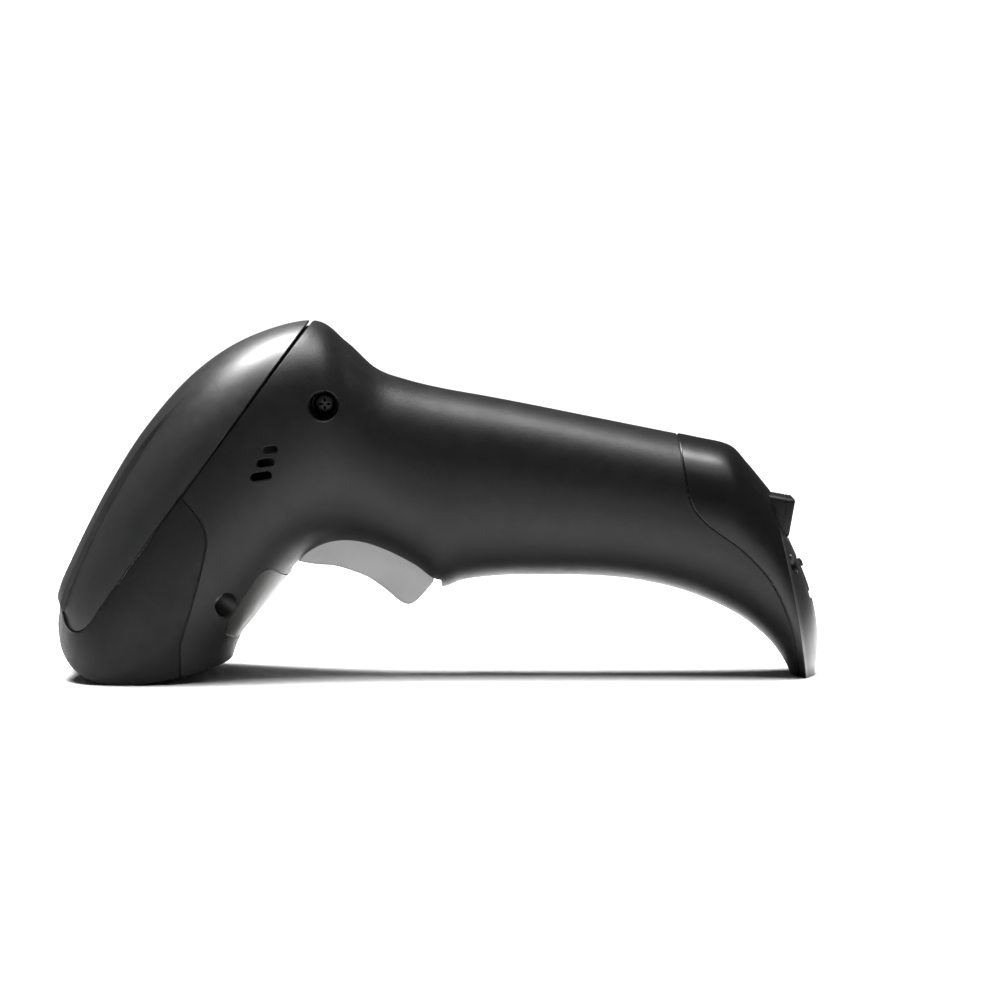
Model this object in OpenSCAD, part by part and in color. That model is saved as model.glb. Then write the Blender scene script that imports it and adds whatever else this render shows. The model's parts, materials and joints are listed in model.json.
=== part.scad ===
// Cordless pistol-grip barcode scanner, standing on the rim of its window bezel and on the tip of its grip.
// Frame: +X runs from the window end to the grip's tip, +Y across, +Z up. The origin is on the surface
// that the scanner stands on, below the middle of the object.

/* [Housing] */
// Widest part of the head, side to side
head_w = 66; // [63:1:68]
// Width of the grip, side to side
grip_w = 35; // [34:0.5:36]
// Wall thickness of the housing mouldings
wall = 2.2; // [2:0.1:2.4]

/* [Window] */
// Width of the window pane, side to side
pane_w = 46; // [42:1:46]
// Height of the window pane
pane_h = 18; // [17:0.5:18]
// Thickness of the window pane
pane_t = 1.5; // [1:0.1:2]

/* [Trigger] */
// Width of the trigger, side to side
trigger_w = 17; // [15:0.5:17]
// Diameter of the pin that the trigger turns on
pin_d = 3; // [2.5:0.1:3]

/* [Battery] */
// Diameter of the rechargeable cell
cell_d = 18.4; // [16:0.1:18.4]
// Length of the rechargeable cell
cell_l = 65; // [60:1:65]

/* [Receiver] */
// Width of the stowed radio receiver
dongle_w = 16; // [15:0.5:17]
// Thickness of the stowed radio receiver
dongle_t = 8.6; // [8:0.2:8.8]
// Length of the receiver's casing, without its plug
dongle_l = 14; // [12:1:16]

/* [Hidden] */

shell_grey = [0.11, 0.11, 0.12];
cover_grey = [0.17, 0.17, 0.18];
bezel_black = [0.06, 0.06, 0.07];
trigger_grey = [0.45, 0.45, 0.46];
board_green = [0.05, 0.30, 0.16];
chip_black = [0.09, 0.09, 0.09];
metal = [0.72, 0.72, 0.74];

// The housing is a ladder of rungs in the X-Z plane, each from a point on the upper outline to a point on
// the underside. A row is: upper X, upper Z, under X, under Z, share of the head's extra width, outward
// bow of the rung, and where along the rung the section is widest (0 is the middle, -1 the upper end).
rungs = [
    [-83.8, 12.0, -46.0,  3.5,  0.86,  9.1,  0.00],
    [-84.1, 18.4, -44.0,  8.6,  0.94,  6.0, -0.05],
    [-80.5, 27.0, -40.5, 13.0,  1.00,  3.0, -0.10],
    [-73.0, 41.5, -36.5, 18.0,  0.99,  1.0, -0.15],
    [-64.5, 55.0, -32.5, 23.0,  0.90,  0.0, -0.15],
    [-54.0, 67.0, -28.5, 26.8,  0.75,  0.0, -0.12],
    [-42.0, 74.8, -24.5, 28.6,  0.57,  0.0, -0.10],
    [-28.0, 78.4, -20.5, 28.9,  0.39,  0.0, -0.05],
    [-20.5, 73.6, -16.0, 28.2,  0.24,  0.0,  0.00],
    [-14.0, 67.8, -10.5, 26.0,  0.13,  0.0,  0.00],
    [ -7.0, 65.2,  -5.0, 22.8,  0.06,  0.0,  0.00],
    [  1.0, 63.3,   0.0, 19.3,  0.02,  0.0,  0.00],
    [ 10.0, 61.7,   6.0, 21.0,  0.00,  0.0,  0.00],
    [ 20.0, 59.8,  15.0, 21.9, -0.01,  0.0,  0.00],
    [ 30.0, 57.8,  25.0, 22.0, -0.01,  0.0,  0.00],
    [ 40.0, 55.8,  35.0, 21.8,  0.00,  0.0,  0.00],
    [ 49.5, 53.9,  44.0, 20.9,  0.01,  0.0,  0.00],
    [ 57.0, 52.4,  53.0, 18.9,  0.03,  0.0,  0.00],
    [ 64.4, 50.6,  61.5, 15.7,  0.04,  0.0,  0.00],
    [ 68.2, 46.9,  69.0, 11.3,  0.03,  0.0,  0.00],
    [ 71.2, 43.4,  75.6,  4.6,  0.00, -0.4,  0.00],
    [ 73.4, 40.7,  81.8, -7.5, -0.05, -0.8,  0.00]];
last_rung = len(rungs) - 1;
// How far the grip's end face bulges beyond its rim
end_crown = 4.6;
// Lopsidedness of the bow at the window end and at the grip's end
nose_skew = 0.6;
tail_skew = 1.3;
section_power = 2.35;

function mix(a, b, t) = a + (b - a) * t;
function catmull(a, b, c, d, t) =
    0.5 * (2 * b + (c - a) * t + (2 * a - 5 * b + 4 * c - d) * t * t + (3 * b - 3 * c + d - a) * t * t * t);
function pick(list, i) = list[max(0, min(len(list) - 1, i))];
function along(list, s) = let (i = min(floor(s), len(list) - 2))
    catmull(pick(list, i - 1), list[i], list[i + 1], pick(list, i + 2), s - i);
// A smooth run of points through a few given ones
function curve(points, steps) = [for (k = [0 : (len(points) - 1) * steps]) along(points, k / steps)];
function powered(x, e) = sign(x) * pow(abs(x), e);

function rung_top(row, inset) = let (a = [row[0], row[1]], b = [row[2], row[3]]) a + inset * (b - a) / norm(b - a);
function rung_under(row, inset) = let (a = [row[0], row[1]], b = [row[2], row[3]]) b - inset * (b - a) / norm(b - a);
function half_width(row, inset) = mix(grip_w, head_w, row[4]) / 2 - inset;
// A point of the X-Z plane on a rung, at share t of its length, pushed outward by bow
function rung_point(row, t, bow, skew, inset) = let (a = rung_top(row, inset), b = rung_under(row, inset),
    r = (b - a) / norm(b - a)) a + (b - a) * t + [r[1], -r[0]] * bow * sin(180 * pow(t, skew));
// Share of the rung at angle phi round the section, which is widest at the row's last value
function rung_share(row, phi) = let (c = -powered(cos(phi), 2 / section_power))
    (1 + row[6] + c * (c < 0 ? 1 + row[6] : 1 - row[6])) / 2;
function skew_at(s) = s < last_rung / 2 ? nose_skew : tail_skew;
function skin_point(s, phi, inset) = let (row = along(rungs, s),
    p = rung_point(row, rung_share(row, phi), row[5], skew_at(s), inset))
    [p[0], half_width(row, inset) * powered(sin(phi), 2 / section_power), p[1]];
function crown_point(s, phi, across, inset, crown) = let (row = along(rungs, s),
    p = rung_point(row, rung_share(row, phi), row[5] - crown * (1 - across * across), skew_at(s), inset))
    [p[0], across * half_width(row, inset) * powered(sin(phi), 2 / section_power), p[1]];

// The housing's closed skin, moved inward by inset and ended at a rung: rings of 2 * n points and a grid of
// k strips on each end
module skin(inset = 0, n = 14, step = 0.5, k = 3, end = last_rung) {
    stations = concat([for (s = [0 : step : end - 0.01]) s], [end]);
    m = len(stations);
    ring = 2 * n;
    end_points = (n - 1) * (2 * k - 1);
    points = concat(
        [for (s = stations, j = [0 : ring - 1]) skin_point(s, 360 * j / ring, inset)],
        [for (j = [1 : n - 1], a = [1 - k : k - 1]) crown_point(0, 180 * j / n, a / k, inset, 0)],
        [for (j = [1 : n - 1], a = [1 - k : k - 1]) crown_point(end, 180 * j / n, a / k, inset, end_crown)]);
    function cap_index(row, block, j, a) = j == 0 ? row * ring : j == n ? row * ring + n
        : a == k ? row * ring + j : a == -k ? row * ring + ring - j
        : m * ring + block * end_points + (j - 1) * (2 * k - 1) + a + k - 1;
    sides = [for (i = [0 : m - 2], j = [0 : ring - 1]) let (a = i * ring + j, b = i * ring + (j + 1) % ring)
        each [[a, b, b + ring], [a, b + ring, a + ring]]];
    nose = [for (j = [0 : n - 1], a = [-k : k - 1]) let (p = cap_index(0, 0, j, a), q = cap_index(0, 0, j, a + 1),
        r = cap_index(0, 0, j + 1, a + 1), t = cap_index(0, 0, j + 1, a))
        each concat(j == n - 1 ? [] : [[p, t, r]], j == 0 ? [] : [[p, r, q]])];
    tail = [for (j = [0 : n - 1], a = [-k : k - 1]) let (p = cap_index(m - 1, 1, j, a),
        q = cap_index(m - 1, 1, j, a + 1), r = cap_index(m - 1, 1, j + 1, a + 1), t = cap_index(m - 1, 1, j + 1, a))
        each concat(j == n - 1 ? [] : [[p, r, t]], j == 0 ? [] : [[p, q, r]])];
    polyhedron(points, concat(sides, nose, tail), convexity = 8);
}

// One closed mesh out of everything inside: the moulded housings are too free in shape for exact faces
module moulding() { resize([0, 0, 0]) children(); }

// A slab standing across the whole object, with its outline given in the X-Z plane
module across(points, width = 90) { rotate([90, 0, 0]) linear_extrude(width, center = true) polygon(points); }
// A block between two corners
module block(a, b) { translate([min(a[0], b[0]), min(a[1], b[1]), min(a[2], b[2])])
    cube([abs(a[0] - b[0]), abs(a[1] - b[1]), abs(a[2] - b[2])]); }
// A rod along +X, +Y or +Z
module rod_x(d, l, $fn = 32) { rotate([0, 90, 0]) cylinder(d = d, h = l, $fn = $fn); }
module rod_y(d, l, $fn = 32) { rotate([-90, 0, 0]) cylinder(d = d, h = l, $fn = $fn); }
module both_sides() { for (side = [1, -1]) scale([1, side, 1]) children(); }
module rounded_plate(size, r, h) { linear_extrude(h) rounded(size, r); }
module rounded(size, r) {
    square([size[0] - 2 * r, size[1]], center = true);
    square([size[0], size[1] - 2 * r], center = true);
    for (x = [-1, 1], y = [-1, 1]) translate([x * (size[0] / 2 - r), y * (size[1] / 2 - r)]) circle(r, $fn = 24);
}
// A cross-head screw along +Z: the head's top is at zero and the shank points down
module screw(head_d, head_h, shank_d, length) {
    difference() {
        union() {
            translate([0, 0, -head_h]) cylinder(d = head_d, h = head_h, $fn = 32);
            translate([0, 0, -length]) cylinder(d = shank_d, h = length - head_h + 0.01, $fn = 32);
        }
        for (turn = [0, 90]) rotate(turn) block([-head_d * 0.3, -0.25, -head_h * 0.6], [head_d * 0.3, 0.25, 1]);
    }
}

// Where the pieces sit
hump = [-28, 78.4];
seam_tilt = 54.3;
module at_window() { translate([-66.5, 0, 4]) rotate([0, 6, 0]) children(); }
module at_board() { translate([-41.4, 0, 48.6]) rotate([0, -seam_tilt, 0]) children(); }
module at_cell() { translate([17.5, 0, 44.9]) rotate([0, 6.6, 0]) children(); }
module at_dongle() { translate([78, 0, 34.9]) rotate([0, 10, 0]) children(); }
module at_port() { translate([80.6, 0, 22.2]) rotate([0, -21, 0]) children(); }
module at_label() { translate([-38.6, 0, 15.4]) rotate([0, 128.3, 0]) children(); }
pivot = [-28, 31];
label_size = [17, 45];

// The parting lines, seen from the side
cover_edge = concat([[-21.4, 88.3]], curve([[-73.5, 16.2], [-76.1, 12.6], [-78.8, 11.2], [-81.4, 12.6], [-83, 16.2],
    [-86, 19]], 3), [[-95, 19], [-95, 95], [-21.4, 95]]);
bezel_edge = concat(curve([[-55.5, 41.1], [-51.6, 36.4], [-50.1, 32.2], [-50.8, 27], [-53.4, 17], [-55.8, 9],
    [-56, 3], [-55.4, -3]], 3), [[-95, -3], [-95, 70], [-34.2, 70.6]]);
cap_edge = concat(curve([[52.2, 58], [52.8, 53.5], [53.9, 46], [55.4, 39], [58.8, 34.4], [66.8, 28.4], [73, 21.5],
    [77, 13], [78.9, 5], [79.6, -4]], 3), [[95, -4], [95, 58]]);

// The housing as one hollow body, standing flat at Z = 0
module hollow() {
    difference() {
        skin();
        intersection() {
            skin(wall, n = 10, step = 1, k = 2, end = 20.4);
            at_window() block([-60, -60, 0], [170, 60, 100]);
        }
        block([-100, -60, -20], [100, 60, 0]);
    }
}
// Ribs, pads and posts grown from the inside of the housing
module inside() { intersection() { skin(wall * 0.7, n = 10, step = 1, k = 2); union() children(); } }
module side_screw_axis() { translate([-24.9, 0, 60.4]) children(); }
module under_screw_axis() { both_sides() translate([-45.9, 25.8, 17]) rotate([0, 128.3, 0]) children(); }
module cap_screw_axis() { both_sides() at_port() translate([0, 11.5, 3.5]) rotate([0, 90, 0]) children(); }
module trigger_slot() {
    block([-32.8, -trigger_w / 2 - 0.5, 18], [1.2, trigger_w / 2 + 0.5, 36]);
}
module vent_slots() {
    for (slot = [[-36.3, 51.1, 3.1, 1.6], [-37.4, 48.3, 3.8, 1.8], [-38.3, 45.4, 4.6, 1.8]])
        translate([slot[0], -20, slot[1]]) rotate([90, 8, 0]) linear_extrude(20) hull()
            for (x = [-1, 1]) translate([x * (slot[2] - slot[3]) / 2, 0]) circle(d = slot[3], $fn = 12);
}
label_depth = 0.4;
module label_prism(grow) {
    at_label() translate([0, 0, -12]) rounded_plate(label_size + [grow, grow], 3.5, 30);
}
pin_boss_d = 7;

module shell_half(side) {
    moulding() difference() {
        union() {
            difference() {
                intersection() {
                    hollow();
                    block([-100, 0, -20], [100, side * 60, 100]);
                }
                across(cover_edge);
                across(bezel_edge);
                across(cap_edge);
            }
            intersection() {
                block([-100, 0, -20], [100, side * 60, 100]);
                inside() {
                    // Boss of the side screw, and those of the trigger's pin
                    side_screw_axis() translate([0, -30, 0]) rod_y(9, 60, 24);
                    under_screw_axis() translate([0, 0, -12]) cylinder(d = 8, h = 16, $fn = 20);
                    both_sides() translate([pivot[0], trigger_w / 2 + 0.6, pivot[1]]) rod_y(pin_boss_d, 20, 24);
                    // Pads under the switch bracket, and ribs under the battery cradle
                    both_sides() block([-22, 13, 34.6], [-3, 20, 36.6]);
                    at_cell() for (x = [-10, 6, 22]) block([x, -8, -24], [x + 1.6, 8, -11]);
                    // Posts that the end cap's screws go into
                    cap_screw_axis() translate([0, 0, -15]) cylinder(d = 6, h = 8, $fn = 20);
                    both_sides() at_port() block([-15, 13, 2], [-8, 20, 5]);
                }
            }
        }
        if (side < 0) {
            side_screw_axis() translate([0, -12, 0]) rotate([90, 0, 0]) cylinder(d1 = 5.8, d2 = 6.6, h = 20, $fn = 24);
            vent_slots();
        }
        side_screw_axis() translate([0, -14, 0]) rod_y(side < 0 ? 2.7 : 2.3, 22, 16);
        under_screw_axis() translate([0, 0, -3.5]) cylinder(d = 5.4, h = 12, $fn = 20);
        under_screw_axis() translate([0, 0, -12]) cylinder(d = 2.8, h = 12, $fn = 16);
        cap_screw_axis() translate([0, 0, -13]) cylinder(d = 1.9, h = 8, $fn = 12);
        trigger_slot();
        translate([pivot[0], -trigger_w / 2 - 2, pivot[1]]) rod_y(pin_d + 0.1, trigger_w + 4, 24);
        difference() {
            label_prism(0.4);
            skin(label_depth);
        }
    }
}
module left_shell() { color(shell_grey) shell_half(-1); }
module right_shell() { color(shell_grey) shell_half(1); }

post_spots = [[-14, 16], [-14, -16], [12, 11.5], [12, -11.5]];
lamp_x = 14;
module top_cover() {
    color(cover_grey) moulding() difference() {
        union() {
            intersection() {
                hollow();
                across(cover_edge);
            }
            inside() at_board() for (p = post_spots) translate([p[0], p[1], 0.6]) cylinder(d = 5, h = 22, $fn = 20);
            inside() at_board() translate([lamp_x, 0, 9]) cylinder(d = 6, h = 20, $fn = 20);
        }
        at_board() translate([lamp_x, 0, 5]) cylinder(d = 3.1, h = 30, $fn = 20);
        at_board() for (p = post_spots) translate([p[0], p[1], 0]) cylinder(d = 1.7, h = 5.5, $fn = 12);
    }
}

// The bezel's opening narrows from its mouth to the pane
mouth = [18.5, 48];
module front_bezel() {
    color(bezel_black) moulding() difference() {
        intersection() {
            hollow();
            difference() {
                across(bezel_edge);
                across(cover_edge);
            }
        }
        at_window() hull() {
            translate([0, 0, -7]) rounded_plate(mouth, 3, 0.1);
            translate([0, 0, 0]) rounded_plate([pane_h - 3.5, pane_w - 3.5], 2, 0.1);
        }
        at_window() both_sides() translate([0, 26.4, -2.6]) cylinder(d = 1.7, h = 4, $fn = 12);
    }
}

gasket_t = 0.8;
module scan_window() {
    color([0.25, 0.02, 0.03, 0.6]) at_window() translate([0, 0, gasket_t]) rounded_plate([pane_h, pane_w], 1.5, pane_t);
}
module window_gasket() {
    color([0.05, 0.05, 0.05]) at_window() difference() {
        rounded_plate([pane_h, pane_w], 1.5, gasket_t);
        translate([0, 0, -1]) rounded_plate([pane_h - 3.5, pane_w - 3.5], 1, gasket_t + 2);
    }
}

// Scan engine: a block that looks down through the window
engine = [18, 34];
engine_z = [12, 25.8];
engine_board_t = 1.2;
bracket_z = engine_z[1] + engine_board_t;
lens_d = 9.4;
led_y = 12;
aimer_y = 6.8;
module engine_bracket() {
    color(metal) at_window() difference() {
        union() {
            block([-9, -17, bracket_z], [9, 17, bracket_z + 1.2]);
            block([-5, -24.6, bracket_z], [5, 24.6, bracket_z + 1.2]);
            both_sides() block([-5, 23.4, 0], [5, 24.6, bracket_z]);
            both_sides() block([-4, 23.4, 0], [4, 28.2, 1.2]);
        }
        both_sides() translate([0, 26.4, -1]) cylinder(d = 2.1, h = 4, $fn = 24);
    }
}
module bracket_screws() {
    color(metal) at_window() both_sides() translate([0, 26.4, 2.4]) screw(2.9, 1.2, 1.6, 4.6);
}
module engine_frame() {
    color(chip_black) at_window() difference() {
        translate([0, 0, engine_z[0]]) rounded_plate(engine, 1.5, engine_z[1] - engine_z[0]);
        translate([0, 0, engine_z[0] - 1]) cylinder(d = lens_d, h = 20, $fn = 32);
        both_sides() translate([0, led_y, engine_z[0] - 1]) cylinder(d = 6.6, h = 6, $fn = 32);
        translate([0, aimer_y, engine_z[0] - 1]) cylinder(d = 3, h = 7, $fn = 24);
    }
}
module engine_lens() {
    color([0.2, 0.2, 0.25]) at_window() rotate_extrude($fn = 48)
        polygon([[0, 16], [1.5, 15.6], [2.8, 14.8], [2.8, 13], [lens_d / 2, 13], [lens_d / 2, 24], [0, 24]]);
}
module led_lenses() {
    color([0.9, 0.9, 0.95]) at_window() both_sides() translate([0, led_y, engine_z[0] + 5]) rotate([180, 0, 0])
        rotate_extrude($fn = 32) polygon([[0, 0], [3.3, 0], [3.3, 1.2], [2.5, 2.6], [1.3, 3.4], [0, 3.7]]);
}
module aimer_lens() {
    color([0.5, 0.9, 0.6]) at_window() translate([0, aimer_y, engine_z[0] + 1]) cylinder(d = 3, h = 5, $fn = 24);
}
module engine_board() {
    color(board_green) at_window() translate([0, 0, engine_z[1]]) rounded_plate(engine, 1, engine_board_t);
}
// A flat cable, as a strip that follows a curve seen from the side
module strip(points, thickness, width) {
    path = curve(points, 3);
    m = len(path) - 1;
    function side_of(i) = let (d = path[min(m, i + 1)] - path[max(0, i - 1)]) [-d[1], d[0]] / norm(d) * thickness / 2;
    across(concat([for (i = [0 : m]) path[i] + side_of(i)], [for (i = [m : -1 : 0]) path[i] - side_of(i)]), width);
}
module engine_ribbon() {
    color([0.85, 0.55, 0.2]) strip([[-54.7, 29.4], [-52.8, 29.6], [-51.0, 31.4], [-49.9, 33.9], [-48.7, 36.1]], 0.3, 12);
}

board_t = 1.2;
module main_board() {
    color(board_green) at_board() translate([0, 0, -board_t / 2]) difference() {
        linear_extrude(board_t) polygon([[-18, -20], [3, -20], [18, -14], [18, 14], [3, 20], [-18, 20]]);
        for (p = post_spots) translate([p[0], p[1], -1]) cylinder(d = 2.2, h = 4, $fn = 24);
    }
}
module decoder_chip() { color(chip_black) at_board() block([-12, -12, board_t / 2], [-1, -1, board_t / 2 + 1.1]); }
module radio_module() { color(metal) at_board() block([-3, 2, board_t / 2], [9, 12, board_t / 2 + 2]); }
module board_parts() {
    color(chip_black) at_board() {
        block([-10, 4, board_t / 2], [-6, 9, board_t / 2 + 0.9]);
        block([2, -8, board_t / 2], [6, -4, board_t / 2 + 0.8]);
        for (y = [-16 : 3 : -7]) block([3, y, board_t / 2], [4.6, y + 1, board_t / 2 + 0.7]);
        block([-14, -7.5, -board_t / 2 - 1.6], [-10, 7.5, -board_t / 2]);
        block([-6, 8, -board_t / 2 - 3.4], [-2, 15, -board_t / 2]);
    }
}
module board_screws() {
    color(metal) at_board() for (p = post_spots) translate([p[0], p[1], -board_t / 2 - 1.2]) rotate([180, 0, 0])
        screw(3.6, 1.2, 1.6, 5.6);
}
module buzzer() {
    color(chip_black) at_board() translate([4, -11, -board_t / 2 - 5.5]) difference() {
        cylinder(d = 12, h = 5.5, $fn = 48);
        translate([0, 0, -1]) cylinder(d = 2, h = 2, $fn = 24);
    }
}
module status_led() { color([0.9, 0.95, 0.9]) at_board() block([lamp_x - 1, -1, board_t / 2], [lamp_x + 1, 1, board_t / 2 + 0.8]); }
module light_pipe() { color([0.85, 0.9, 0.95]) at_board() translate([lamp_x, 0, board_t / 2 + 1]) cylinder(d = 3, h = 16.6, $fn = 32); }

module battery_cell() { color([0.1, 0.25, 0.6]) at_cell() translate([-cell_l / 2, 0, 0]) rod_x(cell_d, cell_l, 64); }
module battery_cradle() {
    color(chip_black) at_cell() difference() {
        block([-12, -10.6, -11], [26, 10.6, -1.5]);
        translate([-40, 0, 0]) rod_x(cell_d, 80, 64);
    }
}
connector_at = [11, -4];
module battery_connector() {
    color([0.9, 0.88, 0.8]) at_board()
        block([connector_at[0] - 2.5, connector_at[1], -board_t / 2 - 4], [connector_at[0] + 2.5, connector_at[1] + 8, -board_t / 2]);
}

// A wire of a given diameter, swept along the points of a route
module wire(route, d, steps = 3, sides = 8) {
    path = curve(route, steps);
    m = len(path) - 1;
    function heading(i) = let (v = path[min(m, i + 1)] - path[max(0, i - 1)]) v / norm(v);
    function ring_at(i) = let (t = heading(i), a = cross(t, [0, 1, 0.01]), u = a / norm(a), v = cross(t, u))
        [for (j = [0 : sides - 1]) path[i] + d / 2 * (u * cos(360 * j / sides) + v * sin(360 * j / sides))];
    faces = [for (i = [0 : m - 1], j = [0 : sides - 1]) let (a = i * sides + j, b = i * sides + (j + 1) % sides)
        each [[a, a + sides, b + sides], [a, b + sides, b]]];
    ends = [for (j = [1 : sides - 2]) each [[0, j, j + 1], [m * sides, m * sides + j + 1, m * sides + j]]];
    polyhedron([for (i = [0 : m]) each ring_at(i)], concat(faces, ends));
}
wire_d = 1.3;
module battery_leads() {
    color([0.7, 0.05, 0.05]) for (y = [0, 3.2])
        wire([[-15.6, y - 1.5, 51], [-19, y - 1.5, 53], [-24, y - 1.6, 54.5], [-29.8, y - 1.6, 54.6]], wire_d);
}

// Trigger, its pin and spring, and the switch that it presses
switch_x = -12;
spring_x = -5.6;
plate_z = 36.6;
seat_z = 25.5;
rest_top = 30.05;
switch_z = [32.2, 35.4];
plunger_z = 30.4;
module switch_bracket() {
    color(chip_black) difference() {
        block([-23, -15, plate_z], [-1.5, 15, plate_z + 1.2]);
        block([-22, 9, plate_z - 1], [-14, 16, plate_z + 3]);
    }
}
module switch_board() { color(board_green) block([-18, -7, switch_z[1]], [-8.4, 7, plate_z]); }
module trigger_switch() {
    color(chip_black) difference() {
        block([switch_x - 3, -3, switch_z[0]], [switch_x + 3, 3, switch_z[1]]);
        translate([switch_x, 0, switch_z[0] - 1]) cylinder(d = 3, h = 3.8, $fn = 32);
    }
}
module switch_plunger() { color([0.9, 0.88, 0.8]) translate([switch_x, 0, plunger_z]) cylinder(d = 2.9, h = 2.6, $fn = 32); }
module switch_leads() {
    color([0.8, 0.8, 0.82]) for (y = [-5, 5])
        wire([[-18.1, y, 35.8], [-21, y, 35.3], [-24.6, y, 36.2], [-27, y * 1.1, 38.5], [-33, 6 + y, 41.5], [-39.9, 11.5 + y * 0.3, 45.9]], 1);
}
finger_edge = curve([[-30.9, 25.4], [-27, 24.7], [-23, 24.4], [-19.5, 23.4], [-15.5, 21.8], [-11.5, 19], [-9, 16.9],
    [-7, 15.9], [-5.2, 16.5], [-3, 18.7], [-1.2, 20.8]], 2);
module trigger() {
    color(trigger_grey) difference() {
        union() {
            across(concat(finger_edge, [[-1.2, 24], [-2.6, seat_z], [-8.6, seat_z], [-9.4, rest_top], [-15, rest_top],
                [-18.5, 32.6], [-25.5, 33.6], [-29.4, 33.3], [-31, 31.8], [-31, 28]]), trigger_w);
            translate([spring_x, 0, seat_z]) cylinder(d = 2.4, h = 1.6, $fn = 24);
        }
        translate([pivot[0], -20, pivot[1]]) rod_y(pin_d, 40, 48);
    }
}
module trigger_pin() {
    color(metal) translate([pivot[0], -trigger_w / 2 - 1.8, pivot[1]]) rod_y(pin_d - 0.1, trigger_w + 3.6, 48);
}
coil_turns = 5;
module trigger_spring() {
    rise = plate_z - seat_z - 0.6;
    color(metal) wire([for (k = [0 : coil_turns * 8]) [spring_x + 1.9 * cos(45 * k), 1.9 * sin(45 * k),
        seat_z + 0.3 + rise * k / (coil_turns * 8)]], 0.55, 1, 6);
}

// Charging socket behind a hinged rubber flap, in the grip's end
flap = [11, 6.6];
flap_t = 1.4;
hinge_z = -3.9;
hinge_x = -1.2;
module end_cap() {
    color(bezel_black) moulding() difference() {
        union() {
            intersection() {
                hollow();
                across(cap_edge);
            }
            inside() {
                // Dock for the stowed receiver and its plug
                at_dongle() block([-dongle_l - 1.6, -dongle_w / 2 - 1.8, -dongle_t / 2 - 1.8],
                    [4, dongle_w / 2 + 1.8, dongle_t / 2 + 1.8]);
                at_dongle() block([-dongle_l - 11.4, -7.9, -4.1], [-dongle_l, 7.9, 4.1]);
                // Rails for the charging board
                both_sides() at_port() block([-8, 5.6, -6], [4, 8.4, 6.5]);
            }
        }
        at_dongle() block([-dongle_l - 0.4, -dongle_w / 2 - 0.35, -dongle_t / 2 - 0.35],
            [9, dongle_w / 2 + 0.35, dongle_t / 2 + 0.35]);
        at_dongle() block([-dongle_l - 11.2, -6.35, -2.6], [-dongle_l, 6.35, 2.6]);
        // Pocket of the flap, with a notch for a fingernail, and the way in to the socket
        at_port() block([-2.4, -flap[0] / 2 - 0.35, hinge_z - 1.9], [6, flap[0] / 2 + 0.35, flap[1] / 2 + 0.6]);
        at_port() translate([-12, 0, 0]) rotate([90, 0, 90]) rounded_plate([8.8, 3.8], 1, 12);
        at_port() translate([hinge_x, -7.2, hinge_z]) rod_y(1.1, 14.4, 16);
        at_port() block([-8.1, -9, -6.1], [-7, 9, 6.6]);
        cap_screw_axis() translate([0, 0, -4]) cylinder(d = 4.4, h = 12, $fn = 20);
        cap_screw_axis() translate([0, 0, -9]) cylinder(d = 2.4, h = 12, $fn = 16);
    }
}
module charge_board() { color(board_green) at_port() block([-9, -8.4, -7], [-8, 8.4, 7]); }
module charge_port() {
    color(metal) at_port() difference() {
        translate([-8, 0, 0]) rotate([90, 0, 90]) rounded_plate([7.6, 2.9], 0.8, 5.2);
        translate([-7, 0, 0]) rotate([90, 0, 90]) rounded_plate([7, 2.3], 0.6, 6);
    }
}
module charge_leads() {
    color([0.7, 0.05, 0.05]) for (y = [-1.3, 1.3])
        wire([[72.8, y + 3, 15.6], [70, y + 3.2, 17.9], [64, y + 4, 20.6], [56, y + 7, 23.6], [48, y + 9.2, 26.6],
            [40, y + 10, 28.6], [24, y + 10.3, 30.2], [8, y + 10.6, 31.4], [-3, y + 10.8, 32.8], [-12, y + 10.9, 34], [-17.6, y + 11, 36.6],
            [-20, y + 11.4, 41], [-25, y + 11.6, 46], [-33, y + 11.5, 47.5], [-38.2, y + 11.4, 49.8]], wire_d, 2);
}
module port_flap() {
    color([0.08, 0.08, 0.08]) at_port() difference() {
        union() {
            block([-flap_t, -flap[0] / 2, hinge_z], [0, flap[0] / 2, flap[1] / 2]);
            block([-flap_t, -3, flap[1] / 2 - 1.6], [0.9, 3, flap[1] / 2]);
            translate([hinge_x, -flap[0] / 2, hinge_z]) rod_y(1.9, flap[0], 32);
            translate([-flap_t - 0.8, 0, 0]) rotate([90, 0, 90]) rounded_plate([7, 2], 0.6, 1);
        }
        translate([hinge_x, -10, hinge_z]) rod_y(1, 20, 32);
    }
}
module flap_pin() { color(metal) at_port() translate([hinge_x, -flap[0] / 2 - 1.5, hinge_z]) rod_y(0.9, flap[0] + 3, 32); }

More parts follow.
